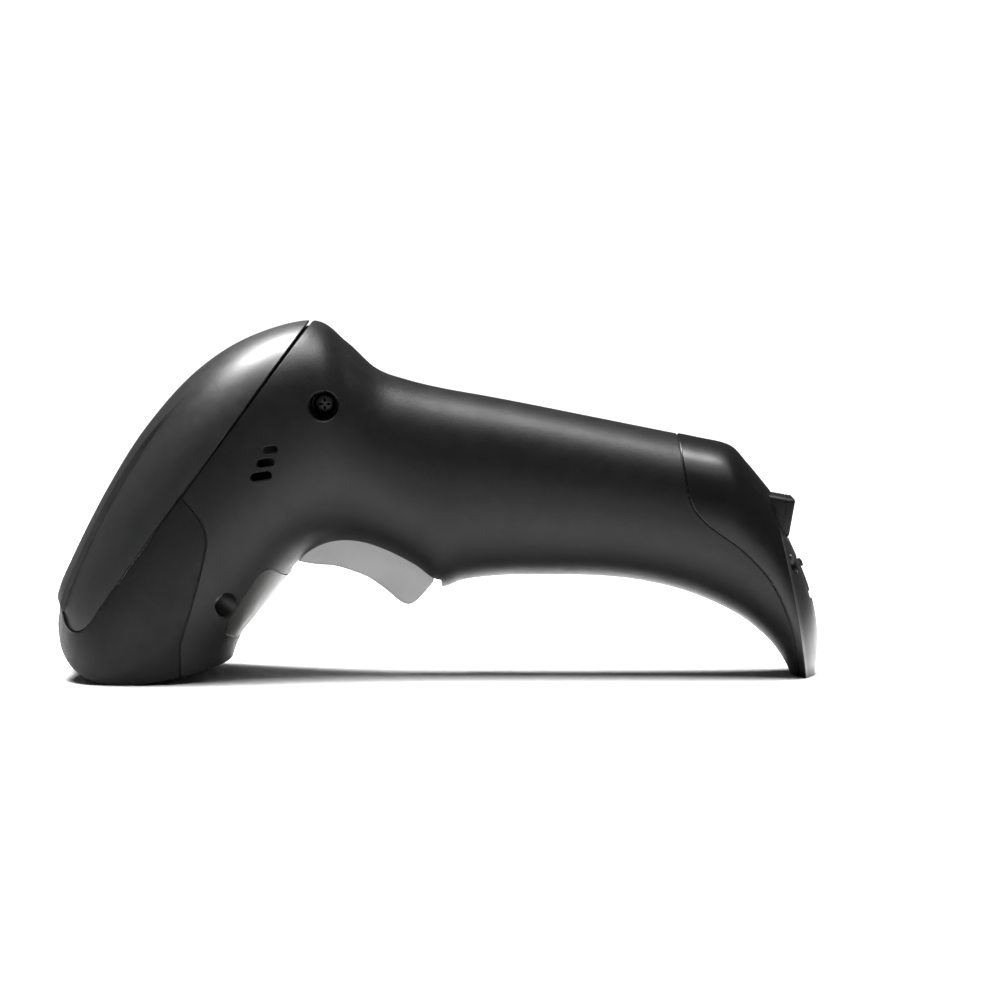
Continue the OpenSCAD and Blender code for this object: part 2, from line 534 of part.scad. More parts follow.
// Radio receiver, stowed plug first in the grip's end
plug = [12, 4.5];
plug_l = 10.6;
module dongle_case() {
    color([0.07, 0.07, 0.08]) at_dongle() difference() {
        translate([-dongle_l, 0, 0]) rotate([90, 0, 90]) rounded_plate([dongle_w, dongle_t], 1.2, dongle_l);
        translate([-dongle_l + 1.4, 0, 0]) rotate([90, 0, 90]) rounded_plate([dongle_w - 2.8, dongle_t - 2.8], 0.6, dongle_l - 2.8);
        block([-dongle_l - 1, -plug[0] / 2, -plug[1] / 2], [-dongle_l + 2, plug[0] / 2, plug[1] / 2]);
    }
}
module dongle_board() { color(board_green) at_dongle() block([-dongle_l + 1.4, -6, -1.7], [-1.4, 6, -0.9]); }
module dongle_plug() {
    color(metal) at_dongle() difference() {
        block([-dongle_l - plug_l, -plug[0] / 2, -plug[1] / 2], [-dongle_l + 1.4, plug[0] / 2, plug[1] / 2]);
        block([-dongle_l - plug_l - 1, -plug[0] / 2 + 0.35, -plug[1] / 2 + 0.35], [-dongle_l + 3, plug[0] / 2 - 0.35, plug[1] / 2 - 0.35]);
        for (y = [-3, 3]) block([-dongle_l - 7.5, y - 1, 0], [-dongle_l - 5, y + 1, 4]);
    }
}
module dongle_tongue() {
    color([0.9, 0.9, 0.9]) at_dongle() block([-dongle_l - plug_l + 0.6, -5.65, -1.9], [-dongle_l + 1.4, 5.65, 0]);
}

module shell_screws() {
    color(metal) {
        side_screw_axis() translate([0, -13.6, 0]) rotate([90, 0, 0]) screw(5, 1.6, 2.2, 19);
        under_screw_axis() translate([0, 0, -2]) screw(4.6, 1.5, 2, 9);
    }
}
module cap_screws() { color(metal) cap_screw_axis() translate([0, 0, -2.6]) screw(3.8, 1.4, 1.8, 9); }
module rating_label() {
    color([0.5, 0.5, 0.48]) moulding() intersection() {
        label_prism(0);
        difference() {
            skin(label_depth - 0.3);
            skin(label_depth);
        }
        block([-60, -60, 0], [-30, 60, 40]);
    }
}

left_shell();
right_shell();
top_cover();
front_bezel();
end_cap();
scan_window();
window_gasket();
engine_bracket();
bracket_screws();
engine_frame();
engine_lens();
led_lenses();
aimer_lens();
engine_board();
engine_ribbon();
main_board();
decoder_chip();
radio_module();
board_parts();
board_screws();
buzzer();
status_led();
light_pipe();
battery_cell();
battery_cradle();
battery_connector();
battery_leads();
switch_bracket();
switch_board();
trigger_switch();
switch_plunger();
switch_leads();
trigger();
trigger_pin();
trigger_spring();
charge_board();
charge_port();
charge_leads();
port_flap();
flap_pin();
dongle_case();
dongle_board();
dongle_plug();
dongle_tongue();
shell_screws();
cap_screws();
rating_label();
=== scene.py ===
import json
import math

import bmesh
import bpy
import numpy as np
from mathutils import Matrix, Vector


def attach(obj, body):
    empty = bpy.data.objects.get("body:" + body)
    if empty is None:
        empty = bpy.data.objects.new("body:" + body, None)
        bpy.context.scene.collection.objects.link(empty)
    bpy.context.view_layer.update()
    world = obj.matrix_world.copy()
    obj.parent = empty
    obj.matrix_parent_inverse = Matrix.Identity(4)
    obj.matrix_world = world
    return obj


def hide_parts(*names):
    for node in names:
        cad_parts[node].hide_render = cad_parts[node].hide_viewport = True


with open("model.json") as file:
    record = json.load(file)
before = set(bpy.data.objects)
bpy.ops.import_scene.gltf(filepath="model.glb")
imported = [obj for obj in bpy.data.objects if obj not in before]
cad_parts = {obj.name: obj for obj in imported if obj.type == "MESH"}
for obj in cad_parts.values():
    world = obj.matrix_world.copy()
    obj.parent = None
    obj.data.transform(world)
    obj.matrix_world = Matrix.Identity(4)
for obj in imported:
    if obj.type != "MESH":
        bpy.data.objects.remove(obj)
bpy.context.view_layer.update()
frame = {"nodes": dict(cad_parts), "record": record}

# Shapes are worked out in millimetres, in the frame of the CAD part, and scaled to metres at the end.
MM = 0.001

# ---------------------------------------------------------------- the housing's skin

# upper X, upper Z, under X, under Z, share of the head's extra width, bow, where the section is widest
RUNGS = np.array([
    (-83.8, 12.0, -46.0, 3.5, 0.86, 9.1, 0.00),
    (-84.1, 18.4, -44.0, 8.6, 0.94, 6.0, -0.05),
    (-80.5, 27.0, -40.5, 13.0, 1.00, 3.0, -0.10),
    (-73.0, 41.5, -36.5, 18.0, 0.99, 1.0, -0.15),
    (-64.5, 55.0, -32.5, 23.0, 0.90, 0.0, -0.15),
    (-54.0, 67.0, -28.5, 26.8, 0.75, 0.0, -0.12),
    (-42.0, 74.8, -24.5, 28.6, 0.57, 0.0, -0.10),
    (-28.0, 78.4, -20.5, 28.9, 0.39, 0.0, -0.05),
    (-20.5, 73.6, -16.0, 28.2, 0.24, 0.0, 0.00),
    (-14.0, 67.8, -10.5, 26.0, 0.13, 0.0, 0.00),
    (-7.0, 65.2, -5.0, 22.8, 0.06, 0.0, 0.00),
    (1.0, 63.3, 0.0, 19.3, 0.02, 0.0, 0.00),
    (10.0, 61.7, 6.0, 21.0, 0.00, 0.0, 0.00),
    (20.0, 59.8, 15.0, 21.9, -0.01, 0.0, 0.00),
    (30.0, 57.8, 25.0, 22.0, -0.01, 0.0, 0.00),
    (40.0, 55.8, 35.0, 21.8, 0.00, 0.0, 0.00),
    (49.5, 53.9, 44.0, 20.9, 0.01, 0.0, 0.00),
    (57.0, 52.4, 53.0, 18.9, 0.03, 0.0, 0.00),
    (64.4, 50.6, 61.5, 15.7, 0.04, 0.0, 0.00),
    (68.2, 46.9, 69.0, 11.3, 0.03, 0.0, 0.00),
    (71.2, 43.4, 75.6, 4.6, 0.00, -0.4, 0.00),
    (73.4, 40.7, 81.8, -7.5, -0.05, -0.8, 0.00),
])
LAST = len(RUNGS) - 1
END_CROWN = 4.6
NOSE_SKEW = 0.6
TAIL_SKEW = 1.3
POWER = 2.35
HEAD_W = 66.0
GRIP_W = 35.0
WALL = 2.2
# Millimetres between rungs at the two ends
NOSE_PITCH = 6.0
TAIL_PITCH = 7.0
# The raised strip down the middle of the cover is this far each side of the middle, and this much proud
CREASE_Y = 17.0
CREASE_HALF = 0.4
CREASE_DROP = 0.7
STRIP_RISE = 0.3
BEZEL_DIP = 0.55
CAP_RISE = 0.16
# The mouldings are hollow up to this station
HOLLOW_END = 20.4


def along(s):
    """The rungs' values at station s, on a smooth curve through the rungs."""
    s = np.asarray(s, float)
    i = np.minimum(np.floor(s).astype(int), LAST - 1)
    t = (s - i)[..., None]
    a, b, c, d = (RUNGS[np.clip(i + k, 0, LAST)] for k in (-1, 0, 1, 2))
    return 0.5 * (2 * b + (c - a) * t + (2 * a - 5 * b + 4 * c - d) * t**2 + (3 * b - 3 * c + d - a) * t**3)


def powered(x, e):
    """x to the power e, with its sign kept."""
    return np.sign(x) * np.abs(x) ** e


def smooth(lo, hi, x):
    """0 below lo, 1 above hi, and an even step between them."""
    t = np.clip((x - lo) / (hi - lo), 0, 1)
    return t * t * (3 - 2 * t)


def half_width(row, inset):
    """Half the housing's width at a rung."""
    return (GRIP_W + (HEAD_W - GRIP_W) * row[..., 4]) / 2 - inset


def rung_point(row, t, bow, skew, inset):
    """The X-Z point at share t of a rung, pushed out by its bow."""
    a = row[..., 0:2]
    b = row[..., 2:4]
    d = b - a
    d = d / np.linalg.norm(d, axis=-1, keepdims=True)
    a = a + np.asarray(inset)[..., None] * d
    b = b - np.asarray(inset)[..., None] * d
    push = bow * np.sin(np.pi * np.clip(t, 0, 1) ** skew)
    return a + (b - a) * t[..., None] + np.stack([d[..., 1], -d[..., 0]], -1) * push[..., None]


def skin_points(s, phi, inset, across=1.0, crown=0.0):
    """Points of the housing's skin at station s and angle phi, moved inward by inset."""
    row = along(s)
    c = -powered(np.cos(phi), 2 / POWER)
    w = row[..., 6]
    t = (1 + w + c * np.where(c < 0, 1 + w, 1 - w)) / 2
    skew = np.where(s < LAST / 2, NOSE_SKEW, TAIL_SKEW)
    p = rung_point(row, t, row[..., 5] - crown * (1 - across**2), skew, inset)
    y = across * half_width(row, inset) * powered(np.sin(phi), 2 / POWER)
    return np.stack([p[..., 0], y, p[..., 1]], -1)


def columns(s, n):
    """Angles of a section's points from the top to the underside, three of them on the crease."""
    hw = half_width(along(s), 0)
    crease = np.minimum(CREASE_Y, 0.72 * hw)
    lo, mid, hi = (np.arcsin(np.clip((crease + k) / hw, 0, 1) ** (POWER / 2))
                   for k in (-CREASE_HALF, 0, CREASE_HALF))
    strip = round(n * 0.25)
    u = (np.arange(strip + 1) / strip)[None, :]
    v = (np.arange(1, n - strip - 1) / (n - strip - 2))[None, :]
    below = hi[:, None] + (math.pi - hi[:, None]) * v
    return np.concatenate([lo[:, None] * u, mid[:, None], hi[:, None], below], 1)


# Where a face comes from: the outer skin, a cut that shows a seam where it meets the skin, or neither
SKIN = 0
CUT = 1
PLAIN = 2
SOURCES = [bpy.data.materials.new(name) for name in ("source_skin", "source_cut", "source_plain")]
scratch = []


def add_object(name, verts, faces, source=PLAIN):
    """A closed mesh as an object, with its faces turned outward."""
    mesh = bpy.data.meshes.new(name)
    mesh.from_pydata([tuple(map(float, v)) for v in verts], [], faces)
    for m in SOURCES:
        mesh.materials.append(m)
    bm = bmesh.new()
    bm.from_mesh(mesh)
    bmesh.ops.remove_doubles(bm, verts=bm.verts, dist=1e-5)
    bmesh.ops.recalc_face_normals(bm, faces=bm.faces)
    for f in bm.faces:
        f.material_index = source
    bm.to_mesh(mesh)
    bm.free()
    obj = bpy.data.objects.new(name, mesh)
    bpy.context.collection.objects.link(obj)
    scratch.append(obj)
    return obj


def skin(inset=0.0, n=64, step=0.1, k=10, rim=0.0, relief=None, source=SKIN, end=float(LAST)):
    """The housing's closed skin, up to station end. relief(s, y) is how much deeper than inset it lies."""
    turns = [math.radians(a) for a in (0, 22.5, 45, 67.5, 90)] if rim else []
    nose = [(rim * (1 - math.sin(a)) / NOSE_PITCH, rim * (1 - math.cos(a))) for a in reversed(turns)]
    tail = [(end - rim * (1 - math.sin(a)) / TAIL_PITCH, rim * (1 - math.cos(a))) for a in turns]
    lo = nose[-1][0] if rim else 0.0
    hi = tail[0][0] if rim else end
    body = np.linspace(lo, hi, round((hi - lo) / step) + 1)
    rows = (nose[:-1] if rim else []) + [(x, 0.0) for x in body] + (tail[1:] if rim else [])
    s = np.array([r[0] for r in rows])
    extra = np.array([r[1] for r in rows]) + inset
    phi = columns(s, n)
    ring = 2 * n
    half = np.concatenate([phi, 2 * math.pi - phi[:, n - 1:0:-1]], 1)
    grid_s = np.repeat(s[:, None], ring, 1)
    depth = np.repeat(extra[:, None], ring, 1)
    if relief:
        y = np.abs(skin_points(grid_s, half, depth)[..., 1])
        depth = depth + relief(grid_s, y)
    points = skin_points(grid_s, half, depth).reshape(-1, 3).tolist()
    m = len(s)
    end_base = []
    for row, crown in ((0, 0.0), (m - 1, END_CROWN)):
        end_base.append(len(points))
        for j in range(1, n):
            for a in range(1 - k, k):
                p = skin_points(s[row], half[row, j], depth[row, j], a / k, crown)
                points.append(p.tolist())

    def cap(which, j, a):
        row = 0 if which == 0 else m - 1
        if j == 0 or j == n:
            return row * ring + j
        if abs(a) == k:
            return row * ring + (j if a > 0 else ring - j)
        return end_base[which] + (j - 1) * (2 * k - 1) + a + k - 1

    faces = []
    for i in range(m - 1):
        for j in range(ring):
            a = i * ring + j
            b = i * ring + (j + 1) % ring
            faces.append((a, b, b + ring, a + ring))
    for which in (0, 1):
        for j in range(n):
            for a in range(-k, k):
                quad = [cap(which, j, a), cap(which, j, a + 1),
                        cap(which, j + 1, a + 1), cap(which, j + 1, a)]
                faces.append(tuple(dict.fromkeys(quad)))
    return add_object("skin", points, faces, source)


# ---------------------------------------------------------------- solids and cuts

def place(x, z, tilt=0.0, y=0.0):
    """A local frame at a point, tilted about Y."""
    return Matrix.Translation((x, y, z)) @ Matrix.Rotation(math.radians(tilt), 4, "Y")


AT_WORLD = place(0, 0)
AT_WINDOW = place(-66.5, 4, 6)
AT_BOARD = place(-41.4, 48.6, -54.3)
AT_DONGLE = place(78, 34.9, 10)
AT_PORT = place(80.6, 22.2, -21)
AT_LABEL = place(-38.6, 15.4, 128.3)
# Turned frames: one whose Z points along the old X, and one whose Z points to the left side
ALONG_X = Matrix.Rotation(math.radians(90), 4, "Y")
TOWARD_LEFT = Matrix.Rotation(math.radians(90), 4, "X")


def shifted(x, y, z):
    return Matrix.Translation((x, y, z))


def loft(layers, at=AT_WORLD, source=CUT, name="loft"):
    """A closed solid through layers of equally many points."""
    count = len(layers[0])
    verts = [at @ Vector(p) for layer in layers for p in layer]
    faces = [tuple(range(count)), tuple(range((len(layers) - 1) * count, len(layers) * count))]
    for i in range(len(layers) - 1):
        for j in range(count):
            a = i * count + j
            b = i * count + (j + 1) % count
            faces.append((a, b, b + count, a + count))
    return add_object(name, verts, faces, source)


def block(a, b, at=AT_WORLD, source=CUT):
    (x0, y0, z0), (x1, y1, z1) = a, b
    ring = [(x0, y0), (x1, y0), (x1, y1), (x0, y1)]
    return loft([[(x, y, z) for x, y in ring] for z in (z0, z1)], at, source)


def circle(r, sides=48):
    return [(r * math.cos(math.tau * i / sides), r * math.sin(math.tau * i / sides)) for i in range(sides)]


def rounded(size, r, arc=6):
    """A rounded rectangle's outline about the origin."""
    out = []
    for turn, (sx, sy) in enumerate(((1, 1), (-1, 1), (-1, -1), (1, -1))):
        for i in range(arc + 1):
            a = math.radians(90 * turn + 90 * i / arc)
            out.append((sx * (size[0] / 2 - r) + r * math.cos(a), sy * (size[1] / 2 - r) + r * math.sin(a)))
    return out


def edge_steps(r, count=4):
    """(inset, height) from a rounded edge's face to its side."""
    angles = [math.pi / 2 * i / count for i in range(count + 1)]
    return [(r * (1 - math.sin(a)), r * (1 - math.cos(a))) for a in angles]


def soft_plate(size, r, z0, z1, edge, at, name="plate"):
    """A rounded plate from z0 up to z1, with its upper and lower edges rounded too."""
    layers = [(z0 + height, inset) for inset, height in edge_steps(edge)]
    layers += [(z1 - height, inset) for inset, height in reversed(edge_steps(edge))]
    rings = []
    for z, inset in layers:
        outline = rounded((size[0] - 2 * inset, size[1] - 2 * inset), max(r - inset, 0.05))
        rings.append([(x, y, z) for x, y in outline])
    return loft(rings, at, SKIN, name)


def plate(size, r, z0, z1, at, source=CUT, arc=6):
    return loft([[(x, y, z) for x, y in rounded(size, r, arc)] for z in (z0, z1)], at, source)


def rod(r0, r1, z0, z1, at, source=CUT, sides=48):
    return loft([[(x, y, z) for x, y in circle(r, sides)] for r, z in ((r0, z0), (r1, z1))], at, source)


def lathe(profile, at, sides=40):
    """A solid of revolution about local Z, through (radius, height) pairs."""
    return loft([[(x, y, z) for x, y in circle(r, sides)] for r, z in profile], at, SKIN)


def curve(points, steps):
    """A smooth run of points through a few given ones."""
    p = [np.array(q, float) for q in points]
    out = []
    for k in range((len(p) - 1) * steps + 1):
        s = k / steps
        i = min(int(s), len(p) - 2)
        t = s - i
        a, b, c, d = (p[min(max(i + j, 0), len(p) - 1)] for j in (-1, 0, 1, 2))
        out.append(tuple(0.5 * (2 * b + (c - a) * t + (2 * a - 5 * b + 4 * c - d) * t * t
                                + (3 * b - 3 * c + d - a) * t**3)))
    return out


def across(points, shift=(0, 0), half=45.0):
    """A slab standing across the whole object, with its outline given in the X-Z plane."""
    return loft([[(x + shift[0], y, z + shift[1]) for x, z in points] for y in (-half, half)])


def boolean(obj, other, operation):
    """obj becomes the union, difference or intersection of itself and other."""
    mod = obj.modifiers.new("cut", "BOOLEAN")
    mod.solver = "MANIFOLD"
    mod.object = other
    mod.operation = operation
    old = obj.data
    graph = bpy.context.evaluated_depsgraph_get()
    mesh = bpy.data.meshes.new_from_object(obj.evaluated_get(graph))
    obj.modifiers.clear()
    obj.data = mesh
    bpy.data.meshes.remove(old)
    return obj


def cut(obj, *others):
    for other in others:
        boolean(obj, other, "DIFFERENCE")
    return obj


def keep_inside(obj, *others):
    for other in others:
        boolean(obj, other, "INTERSECT")
    return obj


def join(obj, *others):
    for other in others:
        boolean(obj, other, "UNION")
    return obj


def seam_runs(obj):
    """Runs of points along the edges where the outer skin meets a cut."""
    bm = bmesh.new()
    bm.from_mesh(obj.data)
    linked = {}
    for e in bm.edges:
        if len(e.link_faces) == 2 and {f.material_index for f in e.link_faces} == {SKIN, CUT}:
            a, b = e.verts
            linked.setdefault(a.index, set()).add(b.index)
            linked.setdefault(b.index, set()).add(a.index)
    at = {v.index: v.co.copy() for v in bm.verts if v.index in linked}
    bm.free()
    runs = []
    starts = sorted(linked, key=lambda v: (len(linked[v]) == 2, v))
    for start in starts:
        while linked[start]:
            run = [start]
            while linked[run[-1]]:
                nxt = min(linked[run[-1]])
                linked[run[-1]].discard(nxt)
                linked[nxt].discard(run[-1])
                run.append(nxt)
                if nxt == start:
                    break
            points = [at[i] for i in run]
            if sum((a - b).length for a, b in zip(points, points[1:])) > 3:
                runs.append((points, run[0] == run[-1]))
    return runs


def evenly(points, pitch):
    """The same run with a point every pitch or so."""
    lengths = [0.0]
    for a, b in zip(points, points[1:]):
        lengths.append(lengths[-1] + (b - a).length)
    count = max(4, round(lengths[-1] / pitch))
    out = []
    i = 0
    for k in range(count + 1):
        want = lengths[-1] * k / count
        while i < len(points) - 2 and lengths[i + 1] < want:
            i += 1
        span = lengths[i + 1] - lengths[i]
        out.append(points[i].lerp(points[i + 1], (want - lengths[i]) / span if span else 0))
    return out


def groove(obj, radius, pitch=0.7, sides=12):
    """Takes a small round bead off every edge between the outer skin and a cut."""
    for points, closed in seam_runs(obj):
        path = evenly(points, pitch)
        if closed:
            path = path[:-1]
        count = len(path)
        rings = []
        side = None
        for i, p in enumerate(path):
            before = path[i - 1] if closed or i else p
            after = path[(i + 1) % count] if closed or i < count - 1 else p
            ahead = (after - before).normalized()
            side = side or ahead.orthogonal()
            side = (side - ahead * side.dot(ahead)).normalized()
            up = ahead.cross(side)
            rings.append([p + radius * (side * x + up * y) for x, y in circle(1, sides)])
        if closed:
            # The last ring meets the first one, turned by what the path has twisted it
            best = min(range(sides), key=lambda k: (rings[-1][0] - rings[0][k]).length)
            verts = [v for ring in rings for v in ring]
            faces = []
            for i in range(count):
                for j in range(sides):
                    a = i * sides + j
                    b = i * sides + (j + 1) % sides
                    turn = best if i == count - 1 else 0
                    nxt = ((i + 1) % count) * sides
                    faces.append((a, b, nxt + (j + 1 + turn) % sides, nxt + (j + turn) % sides))
            bead = add_object("bead", verts, faces, CUT)
        else:
            bead = loft(rings)
        boolean(obj, bead, "DIFFERENCE")
    return obj


# ---------------------------------------------------------------- materials

def socket(bsdf, name, value):
    bsdf.inputs[name].default_value = value


def finish(name, colour, rough, grain=0.0, grain_size=0.35, mottle=0.12, rough_swing=0.06, metallic=0.0,
           specular=0.5, coat=0.0, coat_rough=0.1, streaks=0.0, transmission=0.0):
    """A procedural finish: colour that drifts a little, roughness that varies, and a fine moulded grain.
    Sizes are in millimetres: grain is the grain's height and grain_size its width."""
    m = bpy.data.materials.new(name)
    m.use_nodes = True
    nodes = m.node_tree.nodes
    links = m.node_tree.links
    bsdf = nodes["Principled BSDF"]
    where = nodes.new("ShaderNodeTexCoord")

    def noise(size, detail, stretch=(1, 1, 1)):
        mapping = nodes.new("ShaderNodeMapping")
        mapping.inputs["Scale"].default_value = stretch
        links.new(where.outputs["Object"], mapping.inputs["Vector"])
        n = nodes.new("ShaderNodeTexNoise")
        n.inputs["Scale"].default_value = 1 / (size * MM)
        n.inputs["Detail"].default_value = detail
        links.new(mapping.outputs["Vector"], n.inputs["Vector"])
        return n.outputs["Fac"]

    ramp = nodes.new("ShaderNodeValToRGB")
    ramp.color_ramp.elements[0].position = 0.3
    ramp.color_ramp.elements[1].position = 0.7
    ramp.color_ramp.elements[0].color = [c * (1 - mottle) for c in colour] + [1]
    ramp.color_ramp.elements[1].color = [min(1, c * (1 + mottle)) for c in colour] + [1]
    links.new(noise(9, 5), ramp.inputs["Fac"])
    links.new(ramp.outputs["Color"], bsdf.inputs["Base Color"])

    swing = nodes.new("ShaderNodeMapRange")
    swing.inputs["From Min"].default_value = 0.3
    swing.inputs["From Max"].default_value = 0.7
    swing.inputs["To Min"].default_value = max(0.02, rough - rough_swing)
    swing.inputs["To Max"].default_value = min(1, rough + rough_swing)
    links.new(noise(3.5, 6, (1, 1, 1 + 6 * streaks)), swing.inputs["Value"])
    links.new(swing.outputs["Result"], bsdf.inputs["Roughness"])

    if grain:
        pits = nodes.new("ShaderNodeTexVoronoi")
        pits.inputs["Scale"].default_value = 1 / (grain_size * MM)
        links.new(where.outputs["Object"], pits.inputs["Vector"])
        mix = nodes.new("ShaderNodeMath")
        mix.operation = "ADD"
        links.new(pits.outputs["Distance"], mix.inputs[0])
        links.new(noise(grain_size * 0.7, 3), mix.inputs[1])
        bump = nodes.new("ShaderNodeBump")
        bump.inputs["Strength"].default_value = 1.0
        bump.inputs["Distance"].default_value = grain * MM
        links.new(mix.outputs["Value"], bump.inputs["Height"])
        links.new(bump.outputs["Normal"], bsdf.inputs["Normal"])
    socket(bsdf, "Metallic", metallic)
    socket(bsdf, "Specular IOR Level", specular)
    socket(bsdf, "IOR", 1.5)
    socket(bsdf, "Coat Weight", coat)
    socket(bsdf, "Coat Roughness", coat_rough)
    socket(bsdf, "Transmission Weight", transmission)
    return m


FINISHES = {
    "shell_plastic": finish("shell_plastic", (0.005, 0.005, 0.0052), 0.42, grain=0.012, grain_size=0.5,
                            specular=0.23, rough_swing=0.04),
    "cover_plastic": finish("cover_plastic", (0.011, 0.011, 0.0115), 0.4, grain=0.008, grain_size=0.4,
                            rough_swing=0.035),
    "bezel_plastic": finish("bezel_plastic", (0.003, 0.003, 0.0032), 0.5, grain=0.012, grain_size=0.5,
                            specular=0.17),
    "cap_plastic": finish("cap_plastic", (0.0035, 0.0035, 0.0038), 0.3, grain=0.003, grain_size=0.6,
                          rough_swing=0.02, mottle=0.05, specular=0.34),
    "window_pane": finish("window_pane", (0.22, 0.008, 0.012), 0.06, mottle=0.05, rough_swing=0.02,
                          transmission=0.7, coat=0.3, coat_rough=0.03),
    "soft_rubber": finish("soft_rubber", (0.012, 0.012, 0.012), 0.62, grain=0.01, grain_size=0.4,
                          specular=0.35),
    "bright_steel": finish("bright_steel", (0.55, 0.55, 0.56), 0.28, metallic=1.0, streaks=1.0, mottle=0.05),
    "inner_plastic": finish("inner_plastic", (0.02, 0.02, 0.02), 0.5, grain=0.006),
    "optic_glass": finish("optic_glass", (0.75, 0.8, 0.85), 0.05, rough_swing=0.02, mottle=0.02,
                          transmission=0.8, coat=0.3),
    "clear_plastic": finish("clear_plastic", (0.7, 0.76, 0.8), 0.12, rough_swing=0.04, mottle=0.04,
                            transmission=0.6),
    "circuit_board": finish("circuit_board", (0.01, 0.09, 0.04), 0.4, grain=0.01, grain_size=0.8,
                            mottle=0.25),
    "flat_cable": finish("flat_cable", (0.55, 0.28, 0.06), 0.35, mottle=0.15),
    "cell_wrap": finish("cell_wrap", (0.02, 0.07, 0.25), 0.32, mottle=0.1, coat=0.3),
    "pale_plastic": finish("pale_plastic", (0.75, 0.72, 0.62), 0.4, mottle=0.05, grain=0.004),
    "wire_sleeve": finish("wire_sleeve", (0.5, 0.02, 0.02), 0.42, mottle=0.1, grain=0.004),
    "trigger_plastic": finish("trigger_plastic", (0.29, 0.29, 0.293), 0.55, grain=0.012, grain_size=0.45,
                              mottle=0.08),
    "receiver_plastic": finish("receiver_plastic", (0.004, 0.004, 0.0043), 0.4, grain=0.004, grain_size=0.4,
                               specular=0.2),
    "dark_screw": finish("dark_screw", (0.05, 0.05, 0.052), 0.35, metallic=1.0, streaks=1.0, mottle=0.2),
    "label_film": finish("label_film", (0.026, 0.027, 0.024), 0.34, mottle=0.1, rough_swing=0.05,
                         grain=0.002, grain_size=1.6, specular=0.2),
}
for part in frame["record"]["subparts"]:
    node = frame["nodes"][part["node"]]
    node.data.materials.clear()
    node.data.materials.append(FINISHES[part["material_slot"]])


SHARP = math.radians(38)


def done(obj, name, body, slot_name, *nodes):
    """Gives a finished shape its size in metres, smooth faces, its material and a parent for its body, and
    hides the CAD parts that it replaces.
    """
    obj.name = name
    scratch.remove(obj)
    mesh = obj.data
    mesh.name = name
    bm = bmesh.new()
    bm.from_mesh(mesh)
    bmesh.ops.remove_doubles(bm, verts=bm.verts, dist=2e-4)
    bmesh.ops.dissolve_degenerate(bm, edges=bm.edges, dist=2e-4)
    for f in bm.faces:
        f.material_index = 0
        f.smooth = True
    bm.to_mesh(mesh)
    bm.free()
    mesh.transform(Matrix.Scale(MM, 4))
    mesh.materials.clear()
    mesh.materials.append(FINISHES[slot_name])
    mesh.set_sharp_from_angle(angle=SHARP)
    mesh.update()
    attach(obj, body)
    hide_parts(*nodes)


# ---------------------------------------------------------------- camera, floor and light

# In metres: the point that the camera looks at, how far off it is, and the width that it takes in
centre = Vector((0.0135, 0.0, 0.0385))
elevation = math.radians(3.5)
distance = 1.2
field = 0.222
sensor = 36
camera_data = bpy.data.cameras.new("camera")
camera_data.sensor_width = sensor
camera_data.lens = sensor * distance / field
camera = bpy.data.objects.new("camera", camera_data)
bpy.context.collection.objects.link(camera)
camera.location = centre + distance * Vector((0, -math.cos(elevation), math.sin(elevation)))
camera.rotation_euler = (math.pi / 2 - elevation, 0, 0)
bpy.context.scene.camera = camera

floor_mesh = bpy.data.meshes.new("floor")
reach = 6.0
floor_mesh.from_pydata([(-reach, -reach, 0), (reach, -reach, 0), (reach, reach, 0), (-reach, reach, 0)], [],
                       [(0, 1, 2, 3)])
floor = bpy.data.objects.new("floor", floor_mesh)
bpy.context.collection.objects.link(floor)
paper = finish("paper", (0.86, 0.86, 0.86), 0.7, mottle=0.01, specular=0.2)
floor_mesh.materials.append(paper)

# The camera sees a white studio. Everything else is lit by dim walls, so that the lamps shape the light.
SEEN_LIGHT = 1.3
WALL_LIGHT = 0.055
world = bpy.data.worlds.new("studio")
bpy.context.scene.world = world
world.use_nodes = True
tree = world.node_tree
backdrop = tree.nodes["Background"]
backdrop.inputs["Color"].default_value = (1, 1, 1, 1)
backdrop.inputs["Strength"].default_value = SEEN_LIGHT
walls = tree.nodes.new("ShaderNodeBackground")
walls.inputs["Color"].default_value = (1, 1, 1, 1)
walls.inputs["Strength"].default_value = WALL_LIGHT
seen = tree.nodes.new("ShaderNodeLightPath")
choose = tree.nodes.new("ShaderNodeMixShader")
tree.links.new(seen.outputs["Is Camera Ray"], choose.inputs["Fac"])
tree.links.new(walls.outputs["Background"], choose.inputs[1])
tree.links.new(backdrop.outputs["Background"], choose.inputs[2])
tree.links.new(choose.outputs["Shader"], tree.nodes["World Output"].inputs["Surface"])
bpy.context.scene.view_settings.view_transform = "Standard"


def softbox(name, place_at, aim, size, power):
    """A rectangular lamp that points at aim. Places and sizes are in metres."""
    data = bpy.data.lights.new(name, "AREA")
    data.shape = "RECTANGLE"
    data.size = size[0]
    data.size_y = size[1]
    data.energy = power
    lamp = bpy.data.objects.new(name, data)
    bpy.context.collection.objects.link(lamp)
    lamp.location = place_at
    lamp.rotation_euler = (Vector(aim) - Vector(place_at)).to_track_quat("-Z", "Y").to_euler()


# A wide sun straight overhead whitens the floor. It isn't seen in reflections.
sky_data = bpy.data.lights.new("sky", "SUN")
sky_data.energy = 4.4
sky_data.angle = math.radians(46)
sky = bpy.data.objects.new("sky", sky_data)
bpy.context.collection.objects.link(sky)
sky.visible_glossy = False
softbox("key", (-0.18, 0.22, 0.6), (-0.05, 0, 0.06), (0.2, 0.2), 8.0)
softbox("top", (0.06, 0.03, 0.55), (0.0, 0, 0.06), (0.14, 0.3), 2.6)
softbox("wide", (0.15, 0.05, 0.7), (0.04, 0, 0.05), (0.7, 0.4), 1.4)

# ---------------------------------------------------------------- housing

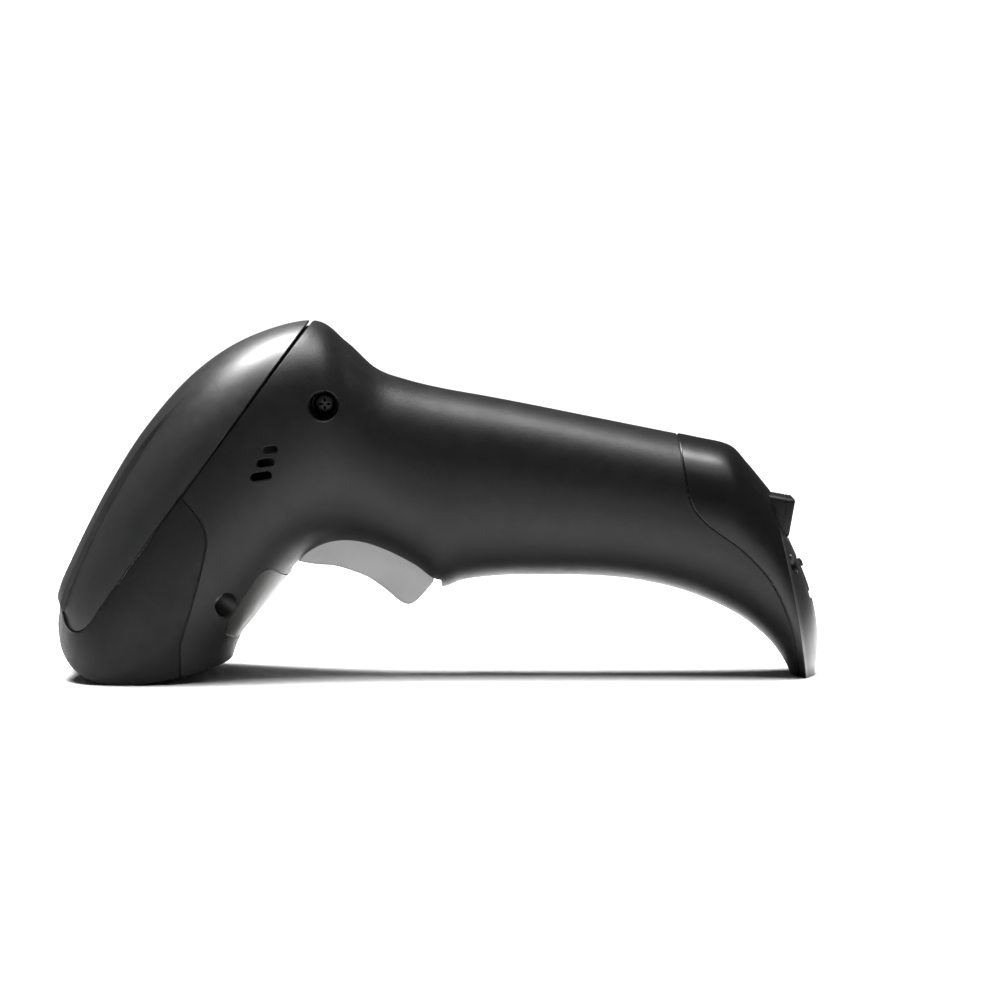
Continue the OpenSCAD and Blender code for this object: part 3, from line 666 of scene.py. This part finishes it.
# Outlines in the X-Z plane of the regions that hold the cover, the bezel and the end cap
EDGE_STEPS = 8
COVER_EDGE = [(-21.4, 88.3)]
COVER_EDGE += curve([(-73.5, 16.2), (-76.1, 12.6), (-78.8, 11.2), (-81.4, 12.6), (-83, 16.2), (-86, 19)],
                    EDGE_STEPS)
COVER_EDGE += [(-95, 19), (-95, 95), (-21.4, 95)]
BEZEL_EDGE = curve([(-55.5, 41.1), (-51.6, 36.4), (-50.1, 32.2), (-50.8, 27), (-53.4, 17), (-55.8, 9),
                    (-56, 3), (-55.4, -3)], EDGE_STEPS)
BEZEL_EDGE += [(-95, -3), (-95, 70), (-34.2, 70.6)]
CAP_EDGE = curve([(52.2, 58), (52.8, 53.5), (53.9, 46), (55.4, 39), (58.8, 34.4), (66.8, 28.4), (73, 21.5),
                  (77, 13), (78.9, 5), (79.6, -4)], EDGE_STEPS)
CAP_EDGE += [(95, -4), (95, 58)]
# Each moulding stands this far back from its edge, and the two shells stand GAP apart
BACK_X = 0.06
BACK_Z = 0.04
GAP = 0.09
# The gap beside the cover is wider towards the hump, and WIDE_DEPTH deep
COVER_ROOM = [(-20.9, 87.9)] + [(x + BACK_X, z - BACK_Z) for x, z in COVER_EDGE[1:-1]] + [(-20.9, 95)]
WIDE_DEPTH = 1.1
# Radius of the bead that rounds each seam
SEAM = 0.24
# Points round half a section, and the step between sections
FINE = 64
STEP = 0.1


def cover_relief(s, y):
    """The cover's side faces lie a little lower than its middle strip, up to where the step fades out."""
    fade = 1 - smooth(3.4, 5.2, s)
    step = smooth(CREASE_Y - CREASE_HALF, CREASE_Y + CREASE_HALF, y)
    return fade * (CREASE_DROP * step - STRIP_RISE * (1 - step))


def bezel_relief(s, y):
    """The bezel dips just below the foot of the cover's raised strip."""
    near = smooth(0.35, 0.75, s) * (1 - smooth(1.2, 1.5, s))
    return BEZEL_DIP * near * (1 - smooth(CREASE_Y - 2, CREASE_Y + 3, y))


inner = skin(WALL, n=20, step=0.5, k=3, source=PLAIN, end=HOLLOW_END)
keep_inside(inner, block((-60, -60, 0), (170, 60, 100), AT_WINDOW, PLAIN))
room = skin(WALL * 0.7, n=20, step=0.5, k=3, source=PLAIN)
ground = block((-110, -60, -30), (110, 60, 0), source=PLAIN)


def hollow(**how):
    """The whole housing as a hollow skin, which each moulding is cut from."""
    return cut(skin(n=FINE, step=STEP, rim=0.5, **how), inner, ground)


def grown(obj):
    """Something that grows from the inside of the housing."""
    return keep_inside(obj, room)


side_screw = place(-24.9, 60.4)
trigger_pin = place(-28, 31) @ TOWARD_LEFT
# X, Z, width and height of each vent
VENTS = [(-36.3, 51.1, 3.1, 1.6), (-37.4, 48.3, 3.8, 1.8), (-38.3, 45.4, 4.6, 1.8)]


def under_screw(side):
    return place(-45.9, 17, 128.3, y=side * 25.8)


def cap_screw(side):
    return AT_PORT @ shifted(0, side * 11.5, 3.5) @ ALONG_X


def wide_gap():
    return cut(across(COVER_ROOM), skin(WIDE_DEPTH, n=24, step=0.25, k=4, source=PLAIN))


def shell_half(side):
    """One half of the head's back and the grip: side is -1 on the left and 1 on the right."""
    obj = hollow()
    y_low, y_high = sorted((side * GAP / 2, side * 60))
    keep_inside(obj, block((-100, y_low, -20), (100, y_high, 100)))
    cut(obj, across(COVER_EDGE, (BACK_X, -BACK_Z)), wide_gap(), across(BEZEL_EDGE, (BACK_X, 0)),
        across(CAP_EDGE, (-BACK_X, 0)))
    boss = grown(rod(4.5, 4.5, -30, 30, side_screw @ TOWARD_LEFT, PLAIN))
    keep_inside(boss, block((-100, y_low, -20), (100, y_high, 100), source=PLAIN))
    join(obj, boss)
    low = grown(rod(4, 4, -12, 4, under_screw(side), PLAIN))
    join(obj, low)
    boss_low, boss_high = sorted((-side * 9.1, -side * 29.1))
    join(obj, grown(rod(3.5, 3.5, boss_low, boss_high, trigger_pin, PLAIN)))
    if side < 0:
        recess = side_screw @ TOWARD_LEFT
        cut(obj, rod(2.8, 3.3, 12, 22, recess), rod(2.9, 4.1, 19, 32, recess))
        for x, z, w, h in VENTS:
            slot_at = place(x, z) @ TOWARD_LEFT @ Matrix.Rotation(math.radians(8), 4, "Z")
            cut(obj, plate((w, h), h / 2 - 0.01, 18, 45, slot_at, arc=8))
    cut(obj, rod(1.2, 1.2, -22, 22, side_screw @ TOWARD_LEFT, PLAIN, 24))
    cut(obj, rod(2.7, 2.7, -3.5, 8.5, under_screw(side), CUT, 32))
    cut(obj, rod(1.4, 1.4, -12, 0, under_screw(side), PLAIN, 24))
    cut(obj, block((-32.8, -9, 18), (0.5, 9, 36)))
    cut(obj, rod(1.55, 1.55, -10.5, 10.5, trigger_pin, PLAIN, 32))
    label_room = cut(plate((17.4, 45.4), 3.7, -12, 18, AT_LABEL), skin(0.4, n=40, step=0.25, source=CUT))
    cut(obj, label_room)
    return groove(obj, SEAM)


left = shell_half(-1)
done(left, "grip_shell_left", "housing", "shell_plastic", "left_shell")
right = shell_half(1)
done(right, "grip_shell_right", "housing", "shell_plastic", "right_shell")

POSTS = [(-14, 16), (-14, -16), (12, 11.5), (12, -11.5)]
lamp_at = AT_BOARD @ shifted(14, 0, 0)
cover = keep_inside(hollow(relief=cover_relief), across(COVER_EDGE, (-BACK_X, BACK_Z)))
for px, py in POSTS:
    join(cover, grown(rod(2.5, 2.5, 0.6, 22.6, AT_BOARD @ shifted(px, py, 0), PLAIN, 32)))
join(cover, grown(rod(3, 3, 9, 29, lamp_at, PLAIN, 32)))
cut(cover, rod(1.55, 1.55, 5, 35, lamp_at, CUT, 32))
for px, py in POSTS:
    cut(cover, rod(0.85, 0.85, 0, 5.5, AT_BOARD @ shifted(px, py, 0), PLAIN, 20))
groove(cover, SEAM)
done(cover, "cover_shell", "housing", "cover_plastic", "top_cover")

bezel = cut(hollow(relief=bezel_relief), across(COVER_EDGE, (BACK_X, -BACK_Z)))
keep_inside(bezel, across(BEZEL_EDGE, (-BACK_X, 0)))
funnel = loft([[(x, y, -7) for x, y in rounded((18.5, 48), 3)],
               [(x, y, 0.1) for x, y in rounded((14.5, 42.5), 2)]], AT_WINDOW)
cut(bezel, funnel)
for side in (-1, 1):
    cut(bezel, rod(0.85, 0.85, -2.6, 1.4, AT_WINDOW @ shifted(0, side * 26.4, 0), PLAIN, 20))
groove(bezel, SEAM)
done(bezel, "bezel_shell", "housing", "bezel_plastic", "front_bezel")

# ---------------------------------------------------------------- grip's end

# Widths, thicknesses and lengths of the receiver and the flap, and the place of the flap's hinge
RECEIVER_W = 16.0
RECEIVER_T = 8.6
RECEIVER_L = 14.0
BAY_WALL = 1.8
FLAP_W = 11.0
FLAP_H = 6.6
FLAP_T = 1.4
HINGE_X = -1.2
HINGE_Z = -3.9


def cap_relief(s, y):
    """The end cap stands slightly proud of the shells at its seam."""
    return -CAP_RISE * (1 - smooth(17.5, 20.5, s)) * smooth(-1, 0, y)


cap = keep_inside(hollow(relief=cap_relief), across(CAP_EDGE, (BACK_X, 0)))
bay_y = RECEIVER_W / 2 + BAY_WALL
bay_z = RECEIVER_T / 2 + BAY_WALL
in_bay = AT_DONGLE @ ALONG_X
join(cap, grown(block((-RECEIVER_L - 1.6, -bay_y, -bay_z), (4, bay_y, bay_z), AT_DONGLE, PLAIN)))
cut(cap, plate((RECEIVER_T + 0.7, RECEIVER_W + 0.7), 1.4, -RECEIVER_L - 0.4, 9, in_bay))
pocket_low = HINGE_Z - 1.9
pocket_high = FLAP_H / 2 + 0.6
pocket_at = AT_PORT @ shifted(0, 0, (pocket_low + pocket_high) / 2) @ ALONG_X
cut(cap, plate((pocket_high - pocket_low, FLAP_W + 0.7), 0.9, -2.4, 6, pocket_at))
pin_at = AT_PORT @ shifted(HINGE_X, 0, HINGE_Z) @ TOWARD_LEFT
cut(cap, rod(0.55, 0.55, -7.2, 7.2, pin_at, PLAIN, 16))
cut(cap, plate((3.8, 8.8), 1, -12, 0, AT_PORT @ ALONG_X, PLAIN))
for side in (-1, 1):
    cut(cap, rod(2.2, 2.2, -4, 8, cap_screw(side), CUT, 32))
    cut(cap, rod(1.2, 1.2, -9, 3, cap_screw(side), PLAIN, 24))
groove(cap, SEAM)
done(cap, "end_cap_shell", "housing", "cap_plastic", "end_cap")

# A fine line runs round the receiver's case near its end
case = soft_plate((RECEIVER_T, RECEIVER_W), 1.2, -RECEIVER_L, 0, 0.5, in_bay, name="receiver")
line = cut(plate((RECEIVER_T + 1, RECEIVER_W + 1), 1.6, -1.9, -1.65, in_bay),
           plate((RECEIVER_T - 0.4, RECEIVER_W - 0.4), 1.0, -2.5, -1.0, in_bay))
cut(case, line)
done(case, "receiver_case", "receiver", "receiver_plastic", "dongle_case")

flap_at = AT_PORT @ shifted(0, 0, (HINGE_Z + FLAP_H / 2) / 2) @ ALONG_X
flap = plate((FLAP_H / 2 - HINGE_Z, FLAP_W), 0.7, -FLAP_T, 4, flap_at, CUT)
keep_inside(flap, skin(0.12, n=48, step=0.2, k=12))
groove(flap, 0.2, pitch=0.4)
join(flap, rod(0.95, 0.95, -FLAP_W / 2, FLAP_W / 2, pin_at, SKIN))
lip_at = AT_PORT @ shifted(0, 0, FLAP_H / 2 - 0.8) @ ALONG_X
join(flap, soft_plate((1.6, 6), 0.5, -FLAP_T + 0.2, 0.95, 0.4, lip_at, name="lip"))
join(flap, plate((2, 7), 0.6, -FLAP_T - 0.8, -FLAP_T + 0.2, AT_PORT @ ALONG_X, SKIN))
cut(flap, rod(0.5, 0.5, -10, 10, pin_at, CUT, 24))
done(flap, "port_cover", "flap", "soft_rubber", "port_flap")

# ---------------------------------------------------------------- trigger

# The trigger's outline in the X-Z plane: the side for the finger, then the side in the grip
FINGER = curve([(-30.9, 25.4), (-27, 24.7), (-23, 24.4), (-19.5, 23.4), (-15.5, 21.8), (-11.5, 19),
                (-9, 16.9), (-7, 15.9), (-5.2, 16.5), (-3, 18.7), (-1.2, 20.8)], 6)
BACK = [(-1.2, 24), (-2.6, 25.5), (-6.2, 26.6), (-9.4, 30.05), (-15, 30.05), (-18.5, 32.6), (-25.5, 33.6),
        (-29.4, 33.3), (-31, 31.8), (-31, 28)]


def inward(points, inset):
    """A closed outline moved in by inset. It may run either way round."""
    p = np.array(points)
    before = np.roll(p, 1, 0)
    after = np.roll(p, -1, 0)
    area = np.sum(p[:, 0] * after[:, 1] - after[:, 0] * p[:, 1])
    d0 = (p - before) / np.linalg.norm(p - before, axis=1)[:, None]
    d1 = (after - p) / np.linalg.norm(after - p, axis=1)[:, None]
    turn = 1 if area > 0 else -1
    n0 = np.stack([-d0[:, 1], d0[:, 0]], 1) * turn
    n1 = np.stack([-d1[:, 1], d1[:, 0]], 1) * turn
    n = n0 + n1
    n = n / np.maximum(np.linalg.norm(n, axis=1), 0.3)[:, None]
    return p + n * inset


TRIGGER_W = 17.0
TRIGGER_EDGE = 1.1
layers = [(-TRIGGER_W / 2 + height, inset) for inset, height in edge_steps(TRIGGER_EDGE, 5)]
layers += [(-y, inset) for y, inset in reversed(layers)]
trigger = loft([[(x, y, z) for x, z in inward(FINGER + BACK, inset)] for y, inset in layers],
               source=SKIN, name="trigger")
# The spring's seat, with the peg that centres the spring
cut(trigger, block((-8.6, -3.4, 25.5), (-1, 3.4, 32)))
join(trigger, rod(1.2, 1.2, 25.3, 27.1, place(-5.6, 0), SKIN, 24))
cut(trigger, rod(1.5, 1.5, -20, 20, trigger_pin, CUT, 48))
done(trigger, "trigger_lever_piece", "trigger_lever", "trigger_plastic", "trigger")

# ---------------------------------------------------------------- window, label and screws

pane = soft_plate((18, 46), 1.5, 0.8, 2.3, 0.25, AT_WINDOW, name="pane")
done(pane, "window_glass", "housing", "window_pane", "scan_window")

label = keep_inside(plate((17, 45), 3.5, -12, 18, AT_LABEL, SKIN), skin(0.08, n=40, step=0.25, source=SKIN))
cut(label, skin(0.4, n=40, step=0.25, source=SKIN), block((-100, -60, -1), (-66, 60, 90)),
    block((-30, -60, -1), (100, 60, 90)), ground)
done(label, "label_plate", "housing", "label_film", "rating_label")


def screw(head_d, head_h, shank_d, length, at):
    """A pan-head screw along local Z, its head's top at zero, with a cross recess."""
    r = head_d / 2
    shank_r = shank_d / 2
    profile = [(shank_r * 0.6, -length), (shank_r, -length + 0.6), (shank_r, -head_h), (r, -head_h)]
    for a in (0, 0.3, 0.6, 0.9, 1.2, 1.45):
        profile.append((r * math.cos(a) ** 0.6, -head_h * 0.45 * (1 - math.sin(a))))
    obj = lathe(profile, at)
    for turn in (0, 90):
        arm = at @ Matrix.Rotation(math.radians(turn), 4, "Z")
        layers = []
        for x, y, z in ((r * 0.2, 0.14, -head_h * 0.75), (r * 0.62, 0.3, 0.5)):
            layers.append([(-x, -y, z), (x, -y, z), (x, y, z), (-x, y, z)])
        cut(obj, loft(layers, arm))
    return obj


screws = screw(5, 1.6, 2.2, 19, side_screw @ shifted(0, -13.6, 0) @ TOWARD_LEFT)
for side in (-1, 1):
    join(screws, screw(4.6, 1.5, 2, 9, under_screw(side) @ shifted(0, 0, -2)))
done(screws, "housing_screws", "housing", "dark_screw", "shell_screws")
end_screws = screw(3.8, 1.4, 1.8, 9, cap_screw(-1) @ shifted(0, 0, -2.6))
join(end_screws, screw(3.8, 1.4, 1.8, 9, cap_screw(1) @ shifted(0, 0, -2.6)))
done(end_screws, "end_cap_screws", "housing", "dark_screw", "cap_screws")

for obj in scratch:
    bpy.data.objects.remove(obj)
